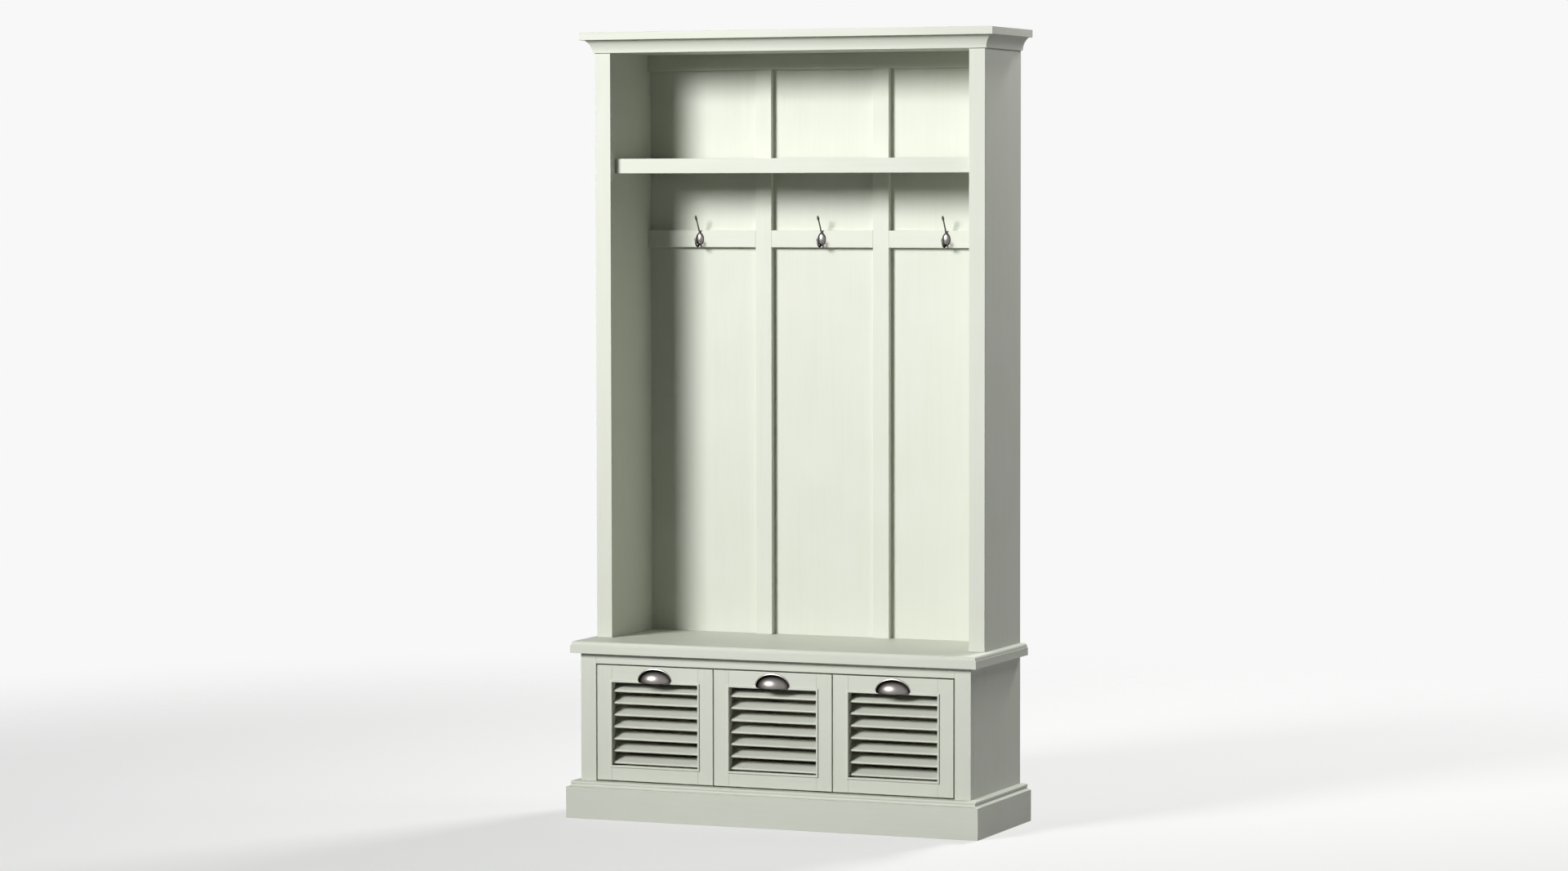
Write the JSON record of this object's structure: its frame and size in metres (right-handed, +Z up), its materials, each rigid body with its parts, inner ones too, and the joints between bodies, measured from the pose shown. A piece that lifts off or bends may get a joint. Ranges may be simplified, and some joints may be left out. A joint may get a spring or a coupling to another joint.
{
  "type": "hall tree",
  "caption": "Hall tree: moulded bench with louvre-fronted drawers on telescopic slides, below an open coat hutch with panelled back, hook rail, hat shelf and crown.",
  "frame": {"origin": "on the floor, in the middle of the whole object's width and depth", "axes": "+Z up, +X to the right seen from the front, the drawers face -Y"},
  "size_m": [1.138, 0.396, 2.03],
  "materials": {
    "sage_paint": "satin pale sage paint on wood",
    "polished_nickel": "polished dark nickel",
    "drawer_wood": "clear lacquered birch",
    "zinc_steel": "zinc plated steel"
  },
  "bodies": {
    "cabinet": {"back_stiles": "sage_paint", "back_top_rail": "sage_paint", "base_back": "sage_paint", "base_deck": "drawer_wood", "base_dividers": "drawer_wood", "base_side_left": "sage_paint", "base_side_right": "sage_paint", "bench_seat": "sage_paint", "coat_hook_centre": "polished_nickel", "coat_hook_left": "polished_nickel", "coat_hook_right": "polished_nickel", "crown_cap": "sage_paint", "crown_cove_front": "sage_paint", "crown_cove_left": "sage_paint", "crown_cove_right": "sage_paint", "face_rails": "sage_paint", "face_stile_left": "sage_paint", "face_stile_right": "sage_paint", "hat_shelf": "sage_paint", "hook_rails": "sage_paint", "hook_screws": "zinc_steel", "hutch_back_panel": "sage_paint", "hutch_side_left": "sage_paint", "hutch_side_right": "sage_paint", "hutch_top": "sage_paint", "plinth_front": "sage_paint", "plinth_left": "sage_paint", "plinth_right": "sage_paint", "slide_cabinet_members": "zinc_steel", "slide_packers": "drawer_wood"},
    "drawer_left": {"drawer_left_box_bottom": "drawer_wood", "drawer_left_box_walls": "drawer_wood", "drawer_left_cup_pull": "polished_nickel", "drawer_left_front_rails": "sage_paint", "drawer_left_front_stiles": "sage_paint", "drawer_left_louvre_bead": "sage_paint", "drawer_left_louvre_slats": "sage_paint", "drawer_left_pull_screws": "zinc_steel", "drawer_left_slide_members": "zinc_steel"},
    "slide_left": {"slide_middle_members_left": "zinc_steel"},
    "drawer_centre": {"drawer_centre_box_bottom": "drawer_wood", "drawer_centre_box_walls": "drawer_wood", "drawer_centre_cup_pull": "polished_nickel", "drawer_centre_front_rails": "sage_paint", "drawer_centre_front_stiles": "sage_paint", "drawer_centre_louvre_bead": "sage_paint", "drawer_centre_louvre_slats": "sage_paint", "drawer_centre_pull_screws": "zinc_steel", "drawer_centre_slide_members": "zinc_steel"},
    "slide_centre": {"slide_middle_members_centre": "zinc_steel"},
    "drawer_right": {"drawer_right_box_bottom": "drawer_wood", "drawer_right_box_walls": "drawer_wood", "drawer_right_cup_pull": "polished_nickel", "drawer_right_front_rails": "sage_paint", "drawer_right_front_stiles": "sage_paint", "drawer_right_louvre_bead": "sage_paint", "drawer_right_louvre_slats": "sage_paint", "drawer_right_pull_screws": "zinc_steel", "drawer_right_slide_members": "zinc_steel"},
    "slide_right": {"slide_middle_members_right": "zinc_steel"}
  },
  "joints": [
    {"name": "drawer_left_pull_out", "type": "slide", "parent": "cabinet", "child": "drawer_left", "axis": [0, -1, 0], "range_m": [0, 0.28]},
    {"name": "slide_left_extend", "type": "slide", "parent": "cabinet", "child": "slide_left", "axis": [0, -1, 0], "range_m": [0, 0.14]},
    {"name": "drawer_centre_pull_out", "type": "slide", "parent": "cabinet", "child": "drawer_centre", "axis": [0, -1, 0], "range_m": [0, 0.28]},
    {"name": "slide_centre_extend", "type": "slide", "parent": "cabinet", "child": "slide_centre", "axis": [0, -1, 0], "range_m": [0, 0.14]},
    {"name": "drawer_right_pull_out", "type": "slide", "parent": "cabinet", "child": "drawer_right", "axis": [0, -1, 0], "range_m": [0, 0.28]},
    {"name": "slide_right_extend", "type": "slide", "parent": "cabinet", "child": "slide_right", "axis": [0, -1, 0], "range_m": [0, 0.14]}
  ],
  "couplings": [
    {"joint": "slide_left_extend", "follows": "drawer_left_pull_out", "ratio": 0.5},
    {"joint": "slide_centre_extend", "follows": "drawer_centre_pull_out", "ratio": 0.5},
    {"joint": "slide_right_extend", "follows": "drawer_right_pull_out", "ratio": 0.5}
  ]
}
